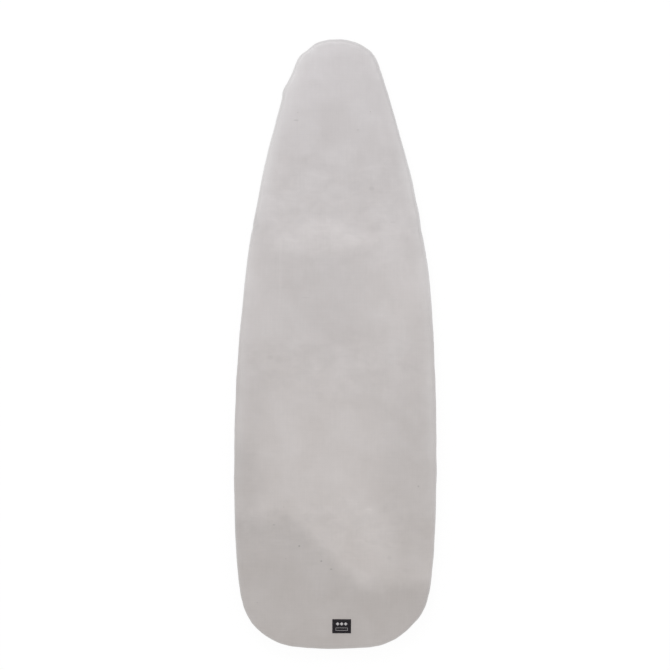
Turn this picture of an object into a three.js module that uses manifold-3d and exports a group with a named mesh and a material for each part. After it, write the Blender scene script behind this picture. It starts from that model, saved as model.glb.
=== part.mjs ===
// A fitted ironing board cover, shaped as it sits on a board: a metallised cotton skin that rolls over
// the board's edge and tucks under it, foam and felt padding beneath the ironing face, a bias tape that
// binds the tucked hem, an elastic cord in the tape's tunnel, and a woven label sewn near the square end.
// Millimetres. X is across the cover, +Y points to the nose, +Z is up. The origin is on the surface that
// the cover rests on, under the middle of its length and width.
import * as THREE from "three";
import { mergeVertices } from "three/addons/utils/BufferGeometryUtils.js";
import Module from "manifold-3d";

// Outline of the covered board, seen from above
const LENGTH = 1300;
const WIDTH = 433;
const WIDEST_FROM_TAIL = 388;
const TAIL_WIDTH = 386; // between the outer ends of the two tail corners
const TAIL_END_RADIUS = 724;
const TAIL_CORNER_RADIUS = 140;
const TAIL_TURN = THREE.MathUtils.degToRad(66); // heading where a tail corner runs into the flank
const NOSE_WIDTH = 172; // between the outer ends of the two nose shoulders
const NOSE_END_RADIUS = 116;
const NOSE_SHOULDER_RADIUS = 59;
const NOSE_TURN = THREE.MathUtils.degToRad(68.4);
// How full the flanks are: each handle as a share of the flank's run along the board
const REAR_FULLNESS = { tail: 0.15, widest: 0.395 };
const FRONT_FULLNESS = { widest: 0.407, nose: 0.286 };

// Layers, from the ironing face down
const FABRIC = 0.6;
const FOAM = 4;
const FELT = 3;
const PLY_GAP = 0.3; // left between two layers that lie on each other
const BOARD_THICKNESS = 24; // room for the board between the felt and the tucked-under hem

// The skin's turn over the board's edge and under it
const TOP_ROLL = 12;
const UNDER_ROLL = 6;
const TUCK = 35; // from the cover's edge to the skin's raw edge
const HEM_DROP = 5; // the hem, with its gathers, hangs this much below the turn under the board

// Hem
const TAPE = 0.8;
const TAPE_LIP = 7; // the tape laps the skin by this much, above and below
const TAPE_FLARE = 1.2; // from the skin's raw edge to the tape's tunnel
const ELASTIC_DIAMETER = 3;
const HEM_GAP = 0.3; // between the skin, the tape and the elastic
const GATHER = 2; // height of the hem's gathers above and below its mean level
const HEM_FLAT = 0.5; // pressed off the lowest gathers where the cover rests

// Seams
const THREAD_DIAMETER = 0.5;
const SEWN_GAP = 0.1; // what is sewn down lies closer than a loose layer
const HEM_SEAM_FROM_LIP = 2;
const LABEL_SEAM_INSET = 1.6;

// Label
const LABEL_WIDTH = 40;
const LABEL_LENGTH = 30;
const LABEL = 0.7;
const LABEL_CORNER = 1;
const LABEL_FROM_TAIL = 48.5; // to the label's middle
const LABEL_OFFSET = 15; // to the right of the cover's middle line

// Places across the hem, in from the cover's edge
const TUNNEL_RADIUS = ELASTIC_DIAMETER / 2 + HEM_GAP;
const LIP_INSET = TUCK - TAPE_LIP;
const SEAM_INSET = LIP_INSET + HEM_SEAM_FROM_LIP;
const TUNNEL_INSET = TUCK + TAPE_FLARE + TUNNEL_RADIUS;

// Levels above the surface that the cover rests on
const HEM_LEVEL = TUNNEL_RADIUS + TAPE + GATHER - HEM_FLAT;
const UNDER_LEVEL = HEM_LEVEL - FABRIC / 2 + HEM_DROP;
const FELT_LEVEL = UNDER_LEVEL + FABRIC + BOARD_THICKNESS;
const FOAM_LEVEL = FELT_LEVEL + FELT + PLY_GAP;
const TOP_LEVEL = FOAM_LEVEL + FOAM + PLY_GAP + FABRIC;

// Steps along each curve of half the outline. Arcs bunch the hem into gathers, flanks leave it plain.
const TAIL_END_STEPS = 3;
const TAIL_CORNER_STEPS = 7;
const REAR_STEPS = 4;
const FRONT_STEPS = 8;
const SHOULDER_STEPS = 4;
const NOSE_END_STEPS = 5;
const TOP_ROLL_STEPS = 3;
const UNDER_ROLL_STEPS = 2;
const TUNNEL_STEPS = 3;
const ELASTIC_SIDES = 6;
const THREAD_SIDES = 4;
const LABEL_CORNER_STEPS = 3;

const wasm = await Module();
wasm.setup();

// The corner's centre, and how far the wide end arc sweeps before it meets the corner arc.
function endArcs(endWidth, endRadius, cornerRadius, turn) {
  const cornerX = endWidth / 2 - cornerRadius * Math.sin(turn);
  const sweep = Math.asin(cornerX / (endRadius - cornerRadius));
  const cornerDepth = endRadius - (endRadius - cornerRadius) * Math.cos(sweep);
  return { cornerX, cornerDepth, sweep };
}

function arc(x, y, radius, from, to) {
  return new THREE.EllipseCurve(x, y, radius, radius, from, to, false, 0);
}

// A flank that leaves one point and reaches another along given headings.
function flank(start, startHeading, end, endHeading, fullness) {
  const run = Math.abs(end.y - start.y);
  const startHandle = start.clone().addScaledVector(startHeading, fullness[0] * run);
  const endHandle = end.clone().addScaledVector(endHeading, -fullness[1] * run);
  return new THREE.CubicBezierCurve(start, startHandle, endHandle, end);
}

// The right half of the outline, from the middle of the tail to the tip of the nose.
function halfOutline() {
  const quarter = Math.PI / 2;
  const tail = endArcs(TAIL_WIDTH, TAIL_END_RADIUS, TAIL_CORNER_RADIUS, TAIL_TURN);
  const nose = endArcs(NOSE_WIDTH, NOSE_END_RADIUS, NOSE_SHOULDER_RADIUS, NOSE_TURN);
  const tailY = -LENGTH / 2;
  const noseY = LENGTH / 2;
  const tailMeet = tail.sweep - quarter;
  const noseMeet = quarter - nose.sweep;
  const tailEnd = arc(0, tailY + TAIL_END_RADIUS, TAIL_END_RADIUS, -quarter, tailMeet);
  const tailCorner = arc(
    tail.cornerX,
    tailY + tail.cornerDepth,
    TAIL_CORNER_RADIUS,
    tailMeet,
    TAIL_TURN - quarter,
  );
  const shoulder = arc(
    nose.cornerX,
    noseY - nose.cornerDepth,
    NOSE_SHOULDER_RADIUS,
    quarter - NOSE_TURN,
    noseMeet,
  );
  const noseEnd = arc(0, noseY - NOSE_END_RADIUS, NOSE_END_RADIUS, noseMeet, quarter);
  const widest = new THREE.Vector2(WIDTH / 2, tailY + WIDEST_FROM_TAIL);
  const alongBoard = new THREE.Vector2(0, 1);
  const rear = flank(
    tailCorner.getPoint(1),
    new THREE.Vector2(Math.cos(TAIL_TURN), Math.sin(TAIL_TURN)),
    widest,
    alongBoard,
    [REAR_FULLNESS.tail, REAR_FULLNESS.widest],
  );
  const front = flank(
    widest,
    alongBoard,
    shoulder.getPoint(0),
    new THREE.Vector2(-Math.cos(NOSE_TURN), Math.sin(NOSE_TURN)),
    [FRONT_FULLNESS.widest, FRONT_FULLNESS.nose],
  );
  return [
    { curve: tailEnd, steps: TAIL_END_STEPS, gather: 1 },
    { curve: tailCorner, steps: TAIL_CORNER_STEPS, gather: 1 },
    { curve: rear, steps: REAR_STEPS, gather: 0 },
    { curve: front, steps: FRONT_STEPS, gather: 0 },
    { curve: shoulder, steps: SHOULDER_STEPS, gather: 1 },
    { curve: noseEnd, steps: NOSE_END_STEPS, gather: 1 },
  ];
}

// Places round the whole outline, anticlockwise from the middle of the tail. Each has the direction into
// the cover and its gather: the hem's rise or fall there, which alternates from place to place.
function outlineStations() {
  const right = [];
  for (const { curve, steps, gather } of halfOutline()) {
    for (let i = 0; i < steps; i++) {
      const along = curve.getTangent(i / steps);
      right.push({
        point: curve.getPoint(i / steps),
        inward: new THREE.Vector2(-along.y, along.x),
        gather,
      });
    }
  }
  const tip = {
    point: new THREE.Vector2(0, LENGTH / 2),
    inward: new THREE.Vector2(0, -1),
    gather: 1,
  };
  const left = right.slice(1).map(({ point, inward, gather }) => ({
    point: new THREE.Vector2(-point.x, point.y),
    inward: new THREE.Vector2(-inward.x, inward.y),
    gather,
  }));
  const all = [...right, tip, ...left.reverse()];
  return all.map((station, i) => ({
    ...station,
    gather: station.gather * GATHER * (i % 2 ? 1 : -1),
  }));
}

const stations = outlineStations();

// One ring round the cover, set in from its edge, with a share of the hem's gathers.
function ring(inset, level, gatherShare = 0) {
  return stations.map(({ point, inward, gather }) => {
    const place = point.clone().addScaledVector(inward, inset);
    return new THREE.Vector3(place.x, place.y, level + gather * gatherShare);
  });
}

// A solid skinned over rings that follow one another upwards and inwards. An open run of rings is closed
// by a flat face across its first and last ring, and a closed run is a tube. The strips between rings are
// split from the ring nearer the cover's edge, so that two faces that lie on each other bend alike.
function loft(rings, isTube) {
  const count = rings[0].length;
  const positions = rings.flat().flatMap((p) => [p.x, p.y, p.z]);
  const triangles = [];
  const strips = isTube ? rings.length : rings.length - 1;
  for (let r = 0; r < strips; r++) {
    const lower = r * count;
    const upper = ((r + 1) % rings.length) * count;
    const leansIn = rings[r][0].length() >= rings[(r + 1) % rings.length][0].length();
    for (let i = 0; i < count; i++) {
      const next = (i + 1) % count;
      triangles.push(lower + i, lower + next, leansIn ? upper + next : upper + i);
      triangles.push(leansIn ? lower + i : lower + next, upper + next, upper + i);
    }
  }
  if (!isTube) {
    const last = (rings.length - 1) * count;
    const flatFace = (points) =>
      THREE.ShapeUtils.triangulateShape(points.map((p) => new THREE.Vector2(p.x, p.y)), []);
    for (const [a, b, c] of flatFace(rings[0])) triangles.push(a, c, b);
    for (const [a, b, c] of flatFace(rings.at(-1))) triangles.push(last + a, last + b, last + c);
  }
  const geometry = new THREE.BufferGeometry();
  geometry.setAttribute("position", new THREE.Float32BufferAttribute(positions, 3));
  geometry.setIndex(triangles);
  return geometry;
}

function toSolid(geometry) {
  const bare = geometry.clone();
  bare.deleteAttribute("normal");
  bare.deleteAttribute("uv");
  const merged = mergeVertices(bare);
  return new wasm.Manifold(
    new wasm.Mesh({
      numProp: 3,
      vertProperties: new Float32Array(merged.attributes.position.array),
      triVerts: new Uint32Array(merged.index.array),
    }),
  );
}

function toGeometry(solid) {
  const mesh = solid.getMesh();
  const geometry = new THREE.BufferGeometry();
  geometry.setAttribute("position", new THREE.BufferAttribute(mesh.vertProperties, 3));
  geometry.setIndex(new THREE.BufferAttribute(mesh.triVerts, 1));
  return geometry;
}

// Places down the skin's turn over the board's edge, at a depth below its outer face.
function topRoll(depth) {
  return Array.from({ length: TOP_ROLL_STEPS + 1 }, (_, i) => {
    const turn = ((Math.PI / 2) * i) / TOP_ROLL_STEPS;
    return {
      inset: TOP_ROLL - (TOP_ROLL - depth) * Math.sin(turn),
      level: TOP_LEVEL - TOP_ROLL + (TOP_ROLL - depth) * Math.cos(turn),
    };
  });
}

// Places on round its turn under the board.
function underRoll(depth) {
  return Array.from({ length: UNDER_ROLL_STEPS + 1 }, (_, i) => {
    const turn = ((Math.PI / 2) * i) / UNDER_ROLL_STEPS;
    return {
      inset: UNDER_ROLL - (UNDER_ROLL - depth) * Math.cos(turn),
      level: UNDER_LEVEL + UNDER_ROLL - (UNDER_ROLL - depth) * Math.sin(turn),
    };
  });
}

// One face of the skin, from the flat top over the edge to the raw edge: the outer face, or one below it.
function skinFace(depth) {
  const rolled = [...topRoll(depth), ...underRoll(depth)];
  const underFace = UNDER_LEVEL + depth;
  const hemFace = HEM_LEVEL - FABRIC / 2 + depth;
  return [
    ...rolled.map(({ inset, level }) => ring(inset, level)),
    ring((UNDER_ROLL + LIP_INSET) / 2, (underFace + hemFace) / 2, 0.5),
    ring(LIP_INSET, hemFace, 1),
    ring(TUCK, hemFace, 1),
  ];
}

function coverFabric() {
  return loft([...skinFace(FABRIC), ...skinFace(0).reverse()], false);
}

// One padding layer: level faces, and an edge that fills the skin's roll.
function paddingLayer(bottom, thickness) {
  const clear = FABRIC + PLY_GAP;
  const edge = [...topRoll(clear), { inset: clear, level: 0 }];
  const insetAt = (level) => {
    const below = Math.max(1, edge.findIndex((place) => place.level <= level));
    const [upper, lower] = [edge[below - 1], edge[below]];
    return THREE.MathUtils.mapLinear(level, upper.level, lower.level, upper.inset, lower.inset);
  };
  const top = bottom + thickness;
  const bends = edge.map(({ level }) => level).filter((level) => level > bottom && level < top);
  const levels = [bottom, ...bends.reverse(), top];
  return loft(levels.map((level) => ring(insetAt(level), level)), false);
}

// One face of the tape in section: it laps the skin's raw edge above and below, and folds round the
// elastic in a tunnel. Each place is an inset and a rise from the hem's level.
function tapeFace(fromSkin, tunnelRadius, lapInsets) {
  const lapRise = FABRIC / 2 + fromSkin;
  const upperLap = lapInsets.map((inset) => [inset, lapRise]);
  const lowerLap = lapInsets.map((inset) => [inset, -lapRise]).reverse();
  const tunnel = Array.from({ length: TUNNEL_STEPS + 1 }, (_, i) => {
    const turn = Math.PI * (0.5 - i / TUNNEL_STEPS);
    return [TUNNEL_INSET + tunnelRadius * Math.cos(turn), tunnelRadius * Math.sin(turn)];
  });
  return [...upperLap, ...tunnel, ...lowerLap];
}

function hemTape() {
  const outside = tapeFace(HEM_GAP + TAPE, TUNNEL_RADIUS + TAPE, [LIP_INSET, SEAM_INSET, TUCK]);
  const inside = tapeFace(HEM_GAP, TUNNEL_RADIUS, [LIP_INSET, TUCK]).reverse();
  const rings = [...outside, ...inside].map(([inset, rise]) => ring(inset, HEM_LEVEL + rise, 1));
  const below = new THREE.BoxGeometry(2 * WIDTH, 2 * LENGTH, 2 * HEM_LEVEL);
  below.translate(0, 0, -HEM_LEVEL);
  return toGeometry(toSolid(loft(rings, true)).subtract(toSolid(below)));
}

// A round cord that follows the hem at an inset and a rise from the hem's level.
function hemCord(inset, rise, diameter, sides) {
  const rings = [];
  for (let i = 0; i < sides; i++) {
    const turn = (-2 * Math.PI * (i + 0.5)) / sides;
    const out = (diameter / 2) * Math.cos(turn);
    const up = (diameter / 2) * Math.sin(turn);
    rings.push(ring(inset + out, HEM_LEVEL + rise + up, 1));
  }
  return loft(rings, true);
}

function hemElastic() {
  return hemCord(TUNNEL_INSET, 0, ELASTIC_DIAMETER, ELASTIC_SIDES);
}

// The seam that closes the tape's laps over the skin lies under the lower one.
function hemStitching() {
  const lap = FABRIC / 2 + HEM_GAP + TAPE;
  const rise = -(lap + SEWN_GAP + THREAD_DIAMETER / 2);
  return hemCord(SEAM_INSET, rise, THREAD_DIAMETER, THREAD_SIDES);
}

function roundedRectangle(width, length, corner) {
  const shape = new THREE.Shape();
  const x = width / 2 - corner;
  const y = length / 2 - corner;
  const quarter = Math.PI / 2;
  shape.absarc(x, y, corner, 0, quarter);
  shape.absarc(-x, y, corner, quarter, 2 * quarter);
  shape.absarc(-x, -y, corner, 2 * quarter, 3 * quarter);
  shape.absarc(x, -y, corner, 3 * quarter, 4 * quarter);
  shape.closePath();
  return shape;
}

function wovenLabel() {
  const outline = roundedRectangle(LABEL_WIDTH, LABEL_LENGTH, LABEL_CORNER);
  return new THREE.ExtrudeGeometry(outline, {
    depth: LABEL,
    bevelEnabled: false,
    curveSegments: LABEL_CORNER_STEPS,
  });
}

// The label's seam: one thread round its four sides.
function labelStitching() {
  const width = LABEL_WIDTH - 2 * LABEL_SEAM_INSET;
  const length = LABEL_LENGTH - 2 * LABEL_SEAM_INSET;
  const outside = roundedRectangle(width, length, LABEL_CORNER);
  const inside = roundedRectangle(
    width - 2 * THREAD_DIAMETER,
    length - 2 * THREAD_DIAMETER,
    LABEL_CORNER - THREAD_DIAMETER,
  );
  outside.holes.push(new THREE.Path(inside.getPoints(LABEL_CORNER_STEPS)));
  return new THREE.ExtrudeGeometry(outside, {
    depth: THREAD_DIAMETER,
    bevelEnabled: false,
    curveSegments: LABEL_CORNER_STEPS,
  });
}

const finishes = {
  metallisedCotton: { color: "#c3bebc", roughness: 0.55, metalness: 0.25 },
  foam: { color: "#e6dfc8", roughness: 0.95, metalness: 0 },
  felt: { color: "#d9d6cf", roughness: 1, metalness: 0 },
  biasTape: { color: "#b4b0ad", roughness: 0.85, metalness: 0 },
  elastic: { color: "#efeeea", roughness: 0.8, metalness: 0 },
  labelWeave: { color: "#231f22", roughness: 0.8, metalness: 0 },
  greyThread: { color: "#a8a4a1", roughness: 0.7, metalness: 0 },
  blackThread: { color: "#2b282a", roughness: 0.7, metalness: 0 },
};

const cover = new THREE.Group();

function addPiece(name, geometry, finish, parent = cover) {
  const mesh = new THREE.Mesh(geometry, new THREE.MeshStandardMaterial(finish));
  mesh.name = name;
  parent.add(mesh);
  return mesh;
}

addPiece("cover_fabric", coverFabric(), finishes.metallisedCotton);
addPiece("foam_pad", paddingLayer(FOAM_LEVEL, FOAM), finishes.foam);
addPiece("felt_pad", paddingLayer(FELT_LEVEL, FELT), finishes.felt);

const hem = new THREE.Group();
addPiece("hem_tape", hemTape(), finishes.biasTape, hem);
addPiece("hem_elastic", hemElastic(), finishes.elastic, hem);
addPiece("hem_stitching", hemStitching(), finishes.greyThread, hem);
cover.add(hem);

const label = new THREE.Group();
label.position.set(LABEL_OFFSET, LABEL_FROM_TAIL - LENGTH / 2, TOP_LEVEL + SEWN_GAP);
addPiece("woven_label", wovenLabel(), finishes.labelWeave, label);
addPiece("label_stitching", labelStitching(), finishes.blackThread, label).position.z =
  LABEL + SEWN_GAP;
cover.add(label);

export default cover;
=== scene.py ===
import math

import bpy
import numpy as np
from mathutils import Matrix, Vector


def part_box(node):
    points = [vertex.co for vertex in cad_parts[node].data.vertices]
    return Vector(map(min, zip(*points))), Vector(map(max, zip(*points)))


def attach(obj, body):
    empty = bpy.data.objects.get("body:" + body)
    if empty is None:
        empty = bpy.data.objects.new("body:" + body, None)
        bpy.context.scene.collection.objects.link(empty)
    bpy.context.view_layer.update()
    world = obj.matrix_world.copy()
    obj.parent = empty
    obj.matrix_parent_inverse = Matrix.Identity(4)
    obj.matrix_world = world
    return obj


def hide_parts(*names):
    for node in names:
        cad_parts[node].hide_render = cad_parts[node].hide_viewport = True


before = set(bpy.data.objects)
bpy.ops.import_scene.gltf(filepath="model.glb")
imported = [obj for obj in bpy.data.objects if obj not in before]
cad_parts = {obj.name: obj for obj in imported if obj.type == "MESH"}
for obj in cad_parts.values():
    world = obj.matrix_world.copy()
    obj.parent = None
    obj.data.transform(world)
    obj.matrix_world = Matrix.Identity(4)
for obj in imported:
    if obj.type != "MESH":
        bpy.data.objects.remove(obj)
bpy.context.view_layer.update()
print("frame loaded:", ", ".join(sorted(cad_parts)))

skinLow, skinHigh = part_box("cover_fabric")
foamLow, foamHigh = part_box("foam_pad")
feltLow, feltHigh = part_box("felt_pad")
elasticLow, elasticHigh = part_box("hem_elastic")
labelLow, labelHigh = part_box("woven_label")
quarter = math.pi / 2  # of a turn

# Outline of the covered board, seen from above, in metres
outline = {
    "length": skinHigh.y - skinLow.y,
    "width": skinHigh.x - skinLow.x,  # at its widest
    "widestFromTail": 0.388,
    "tail": {"width": 0.386, "endRadius": 0.724, "cornerRadius": 0.140, "turn": math.radians(66)},
    "nose": {"width": 0.172, "endRadius": 0.116, "cornerRadius": 0.059, "turn": math.radians(68.4)},
    "rearFullness": (0.15, 0.395),  # of a flank's curve, at its two ends
    "frontFullness": (0.407, 0.286),
    "arcSteps": 300,
    "flankSteps": 600,
    "stations": 1440,  # round the whole edge, four times a whole number
}


def arcLine(centre, radius, start, end):
    turn = np.linspace(start, end, outline["arcSteps"])
    return centre + radius * np.stack([np.cos(turn), np.sin(turn)], axis=1)


def flankLine(start, startHeading, end, endHeading, fullness):
    run = abs(end[1] - start[1])
    leave = start + np.array(startHeading) * fullness[0] * run
    reach = end - np.array(endHeading) * fullness[1] * run
    t = np.linspace(0, 1, outline["flankSteps"])[:, None]
    return (1 - t) ** 3 * start + 3 * (1 - t) ** 2 * t * leave + 3 * (1 - t) * t**2 * reach + t**3 * end


# Half of a round end, drawn as the tail's: from its middle to where the flank starts
def roundEnd(end):
    between = end["endRadius"] - end["cornerRadius"]
    cornerX = end["width"] / 2 - end["cornerRadius"] * math.sin(end["turn"])
    sweep = math.asin(cornerX / between)
    middleY = end["endRadius"] - outline["length"] / 2
    cornerY = middleY - between * math.cos(sweep)
    middle = arcLine((0, middleY), end["endRadius"], -quarter, sweep - quarter)
    corner = arcLine((cornerX, cornerY), end["cornerRadius"], sweep - quarter, end["turn"] - quarter)
    return np.concatenate([middle, corner[1:]])


# Right half, from the middle of the tail to the tip of the nose
def halfOutline():
    o = outline
    tail = roundEnd(o["tail"])
    nose = roundEnd(o["nose"])[::-1] * (1, -1)
    tailTurn, noseTurn = o["tail"]["turn"], o["nose"]["turn"]
    fromTail = (math.cos(tailTurn), math.sin(tailTurn))
    toNose = (-math.cos(noseTurn), math.sin(noseTurn))
    widest = np.array([o["width"] / 2, o["widestFromTail"] - o["length"] / 2])
    rear = flankLine(tail[-1], fromTail, widest, (0, 1), o["rearFullness"])
    front = flankLine(widest, (0, 1), nose[0], toNose, o["frontFullness"])
    return np.concatenate([tail, rear[1:], front[1:], nose[1:]])


def unit(vectors):
    return vectors / np.linalg.norm(vectors, axis=1)[:, None]


def flatCross(a, b):
    return a[:, 0] * b[:, 1] - a[:, 1] * b[:, 0]


def reachAlong(points):
    return np.concatenate([[0], np.cumsum(np.linalg.norm(np.diff(points, axis=0), axis=1))])


# Rows of values, read off at places along their reach
def readAt(places, reach, values):
    return np.stack([np.interp(places, reach, column) for column in values.T], axis=1)


def evenSteps(points, total):
    reach = reachAlong(points)
    return readAt(np.linspace(0, reach[-1], total), reach, points)


def headingRound(line):
    return unit(np.roll(line, -1, axis=0) - np.roll(line, 1, axis=0))


count = outline["stations"]
halfCount = count // 2
rightHalf = evenSteps(halfOutline(), halfCount + 1)
edge = np.concatenate([rightHalf, rightHalf[-2:0:-1] * (-1, 1)])  # anticlockwise from the tail's middle
heading = headingRound(edge)
inward = np.stack([-heading[:, 1], heading[:, 0]], axis=1)
step = reachAlong(rightHalf)[-1] / halfCount
along = np.arange(count) * step  # metres round the edge
around = count * step
print(f"outline: {count} stations, {around:.3f} m round")


def inset(distance):
    return edge + inward * distance


def ease(t):
    t = np.clip(t, 0, 1)
    return t * t * (3 - 2 * t)


# One at the middle, falling away over this reach
def hump(away, reach):
    return np.exp(-((away / reach) ** 2))


def nearEdge(place, reach):
    return hump(np.linalg.norm(edge - place, axis=1), reach)


# A wave that closes on itself round the edge, between about -1 and 1
def edgeWander(seed, longest, shortest):
    draw = np.random.default_rng(seed)
    total = np.zeros(count)
    allTurns = range(max(1, round(around / longest)), round(around / shortest) + 1)
    for turns in allTurns:
        total += np.sin(2 * math.pi * turns * along / around + draw.uniform(0, 2 * math.pi))
    return total / math.sqrt(2 * len(allTurns))


def smoothRound(values, reach):
    weight = hump(np.minimum(along, around - along), reach)
    return np.real(np.fft.ifft(np.fft.fft(values) * np.fft.fft(weight / weight.sum())))


skin = {
    "thickness": 0.0006,
    "topRoll": 0.012,
    "underRoll": 0.006,
    "tuck": 0.035,  # from the edge to the raw edge under the board
    "board": 0.024,
    "hemDrop": 0.005,
    "topRows": 17,
    "topCrowding": 0.9,  # below one, the rows of the face lie closer towards its rim
    "rollRows": 6,
    "sideRows": 4,
    "underRows": 4,
    "flangeRows": 9,
    "liftCarries": 1.3,  # the face's lift dies out over this many lengths of the roll
    "rimHeld": 0.7,  # share of a dent that the rim of the face doesn't follow
    "foldsFrom": 0.55,  # share of the roll where the folds of the side start
    "wander": (0.5, 0.06),  # longest and shortest wave of the edge
    "wanderSize": 0.0005,
    "wanderSeed": 21,
    "bulge": 0.0014,  # kept back from the edge, because the settled cloth bulges out by it
    "dents": [  # where a packing fold crosses the edge or the cover sits uneven: place, depth, reach
        ((-0.066, 0.626), 0.0050, 0.014),
        ((-0.116, 0.541), -0.0050, 0.018),
        ((-0.113, 0.540), -0.0020, 0.050),
        ((-0.169, 0.302), 0.0026, 0.040),
        ((-0.174, 0.244), 0.0030, 0.009),
        ((-0.203, 0.080), 0.0014, 0.110),
        ((0.120, 0.487), 0.0036, 0.090),
        ((0.142, 0.420), 0.0016, 0.060),
        ((0.158, 0.302), 0.0013, 0.009),
        ((0.176, 0.242), 0.0014, 0.010),
        ((0.196, 0.125), -0.0042, 0.120),
        ((-0.154, -0.615), -0.0032, 0.050),
        ((-0.180, -0.592), -0.0020, 0.030),
        ((-0.040, -0.650), -0.0022, 0.090),
        ((-0.100, -0.647), -0.0012, 0.050),
        ((0.090, -0.647), -0.0014, 0.050),
        ((0.161, -0.606), 0.0030, 0.050),
    ],
    "pucker": {"depth": 0.00035, "at": 0.6, "reach": 0.012, "shift": 0.4},  # of the roll, at a share of it
}
tape = {
    "thickness": 0.0008,
    "lip": 0.007,  # how far it laps the skin
    "flare": 0.0012,  # from the raw edge to the tunnel
    "gap": 0.00015,
    "tunnelRadius": 0.0018,
    "seamFromLip": 0.002,
    "lipEdge": [(0.0, 0.86), (0.0004, 1.0)],  # from the lip's edge, share of the thickness
    "seamDip": [(-0.0007, 1.0), (0.0, 0.8), (0.0007, 1.0), (0.003, 1.06)],  # the same from the seam
    "lapEnd": [(0.0004, 1.05)],  # and from the raw edge
    "innerEnd": 0.0002,  # the inner face leaves the skin this far past the raw edge
    "wallTurn": 0.62,  # of half a turn, from the tunnel's far side to where its outer wall ends
    "wallRows": 9,
    "hollowTurn": 0.6,
    "hollowRows": 7,
    "crimp": 0.00022,
    "crimpWaves": (0.012, 0.006),  # longest and shortest
    "crimpSeed": 33,
    "flankCrimp": 0.4,  # share of the crimp where nothing is gathered
    "crimpFrom": 0.0006,  # only the outer faces, higher than this, are crimped
    "pressedBelow": 0.0004,  # lower than this, the surface below presses the tape
    "pressedShare": 0.25,
    "floorGap": 0.00005,
}
topLevel = skinHigh.z
underLevel = feltLow.z - skin["board"] - skin["thickness"]
hemLevel = (elasticLow.z + elasticHigh.z) / 2  # middle of the tucked cloth's thickness
sideHeight = topLevel - skin["topRoll"] - underLevel - skin["underRoll"]
rollLength = quarter * skin["topRoll"]  # of cloth over the board's edge
flangeRun = skin["tuck"] - skin["underRoll"]
hemInset = skin["tuck"] + tape["flare"] + tape["tunnelRadius"]
lipInset = skin["tuck"] - tape["lip"]
seamInset = lipInset + tape["seamFromLip"]
lapLevel = skin["thickness"] / 2 + tape["gap"]  # of the tape's inner faces, from the skin's middle

edgeOut = skin["wanderSize"] * edgeWander(skin["wanderSeed"], *skin["wander"]) - skin["bulge"]
for dentPlace, dentDepth, dentReach in skin["dents"]:
    edgeOut -= dentDepth * nearEdge(dentPlace, dentReach)

# Relief of the ironing face: what the padding and the packing folds leave in the cloth
relief = {
    "swells": [  # long waves of the padding: height, length, heading in degrees, shift
        (0.00045, 0.31, 12, 0.4),
        (0.00040, 0.23, 71, 2.1),
        (0.00028, 0.16, 128, 4.4),
        (0.00020, 0.105, 39, 1.2),
        (0.00015, 0.083, 160, 5.3),
        (0.00010, 0.052, 95, 3.0),
    ],
    "creases": [  # from, to, height, reach to each side
        ((-0.152, 0.255), (-0.020, 0.232), 0.0009, 0.026),
        ((-0.050, 0.236), (0.113, 0.202), 0.0007, 0.028),
        ((-0.118, 0.213), (-0.117, 0.106), 0.0006, 0.012),
        ((-0.097, 0.490), (-0.107, 0.287), 0.0005, 0.016),
        ((0.100, 0.300), (0.168, 0.262), 0.0005, 0.014),
        ((-0.120, -0.275), (0.020, -0.300), 0.0005, 0.020),
    ],
    # The square end lay folded under in its pack: the fold is level at both sides and slants between
    "endFold": {"left": (-0.100, -0.372), "right": (0.055, -0.512), "height": 0.0007, "reach": 0.030},
    "tailSag": 0.0016,  # the square end lies a little lower than the rest
    "tailSagFrom": -0.400,
    "edgeSag": 0.0010,  # the padding thins towards the edge
    "edgeSagReach": 0.030,
    "softEdges": [  # where the padding's edge lies slack: place, length along the edge, drop, width
        ((-0.085, 0.600), 0.055, 0.0022, 0.035),
        ((-0.135, 0.400), 0.100, 0.0016, 0.045),
        ((0.150, 0.360), 0.080, 0.0009, 0.030),
        ((0.214, -0.300), 0.160, 0.0009, 0.030),
        ((-0.210, -0.420), 0.100, 0.0010, 0.035),
    ],
}
foldAcross, foldLevels = zip(relief["endFold"]["left"], relief["endFold"]["right"])


def awayFromLine(x, y, start, end):
    run = np.subtract(end, start)
    t = ((x - start[0]) * run[0] + (y - start[1]) * run[1]) / (run @ run)
    t = np.clip(t, 0, 1)
    return np.hypot(x - start[0] - t * run[0], y - start[1] - t * run[1])


def reliefAt(x, y):
    height = np.zeros_like(x)
    for size, length, turn, shift in relief["swells"]:
        way = x * math.cos(math.radians(turn)) + y * math.sin(math.radians(turn))
        height += size * np.sin(2 * math.pi * way / length + shift)
    for start, end, size, reach in relief["creases"]:
        height += size * hump(awayFromLine(x, y, start, end), reach)
    pastFold = np.interp(x, foldAcross, foldLevels) - y
    height += relief["endFold"]["height"] * hump(pastFold, relief["endFold"]["reach"])
    sagRun = relief["tailSagFrom"] + outline["length"] / 2
    return height - relief["tailSag"] * ease((relief["tailSagFrom"] - y) / sagRun)


# What the slack padding takes off along the edge, at each station, and how far in it reaches
edgeDrop = np.full(count, relief["edgeSag"])
edgeWidth = np.full(count, relief["edgeSagReach"])
for slackPlace, slackLength, slackDrop, slackWidth in relief["softEdges"]:
    slack = nearEdge(slackPlace, slackLength)
    edgeDrop += slackDrop * slack
    edgeWidth += (slackWidth - relief["edgeSagReach"]) * slack


# Lift of a row of the ironing face, one place for each station
def faceLift(flat):
    away = np.linalg.norm(flat - edge, axis=1) - skin["topRoll"]
    return reliefAt(*flat.T) - edgeDrop * ease(1 - away / edgeWidth)


rim = inset(skin["topRoll"])
rimLift = faceLift(rim)

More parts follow.
